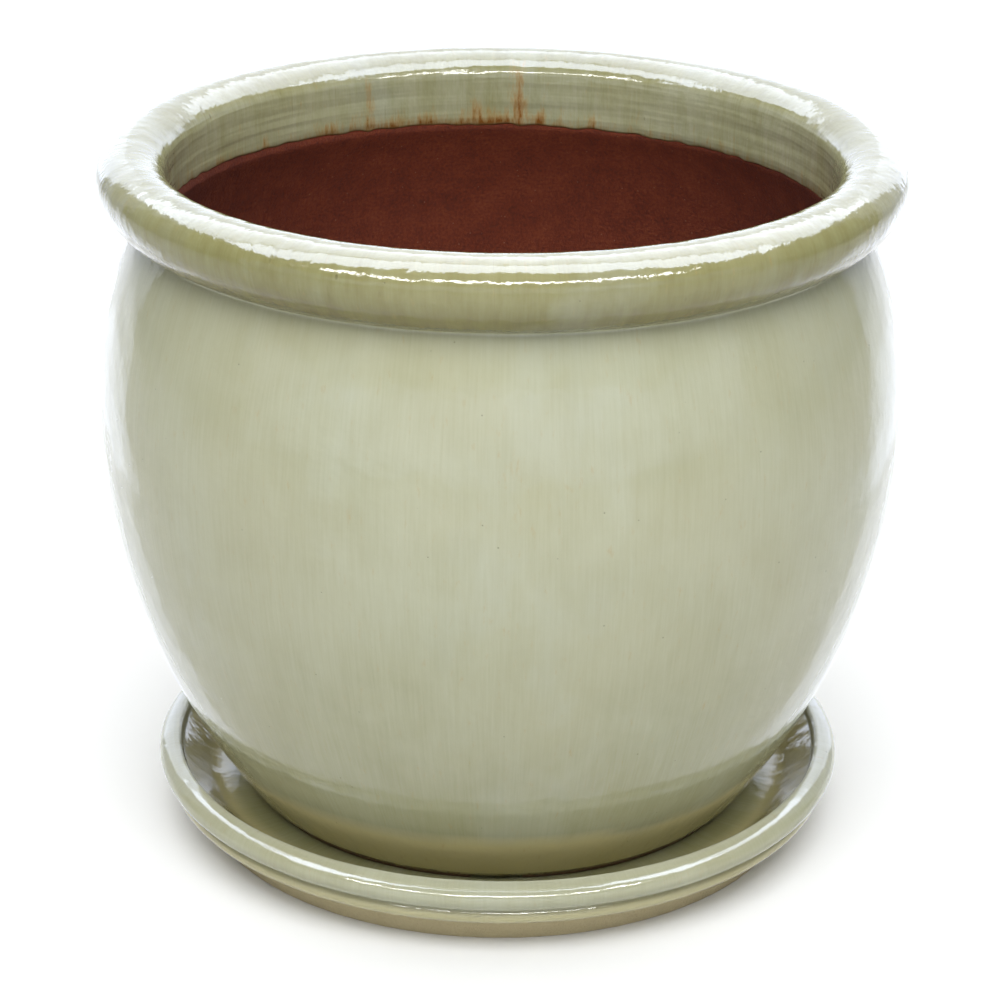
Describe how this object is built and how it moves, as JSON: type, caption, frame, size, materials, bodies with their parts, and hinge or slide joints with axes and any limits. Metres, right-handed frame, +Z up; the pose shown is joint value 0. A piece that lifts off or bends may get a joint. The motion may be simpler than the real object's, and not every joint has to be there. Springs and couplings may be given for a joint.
{
  "type": "glazed planter with saucer",
  "caption": "Round belly-shaped glazed ceramic planter with a thick rolled rim and a drain hole, standing in a loose shallow drip saucer with a beaded edge.",
  "frame": {"origin": "on the ground at the centre of the saucer's base, on the pot's axis", "axes": "+Z up along the axis of the pot and saucer, -Y towards the viewer; both are round, so +X is only a side"},
  "size_m": [0.3355, 0.3356, 0.2966],
  "materials": {
    "red_clay": "bare fired red clay with fine turning lines",
    "pot_glaze": "glossy pale celadon glaze with fine streaks and pinholes",
    "buff_clay": "bare fired clay with a thin olive-brown wash",
    "saucer_glaze": "glossy pale celadon glaze with fine streaks and pinholes"
  },
  "bodies": {
    "saucer": {"saucer_body": "buff_clay", "saucer_glaze": "saucer_glaze"},
    "pot": {"pot_body": "red_clay", "pot_glaze": "pot_glaze"}
  },
  "joints": [
    {"name": "pot_lift", "type": "slide", "parent": "saucer", "child": "pot", "axis": [0, 0, 1], "range_m": [0, 0.06]}
  ]
}
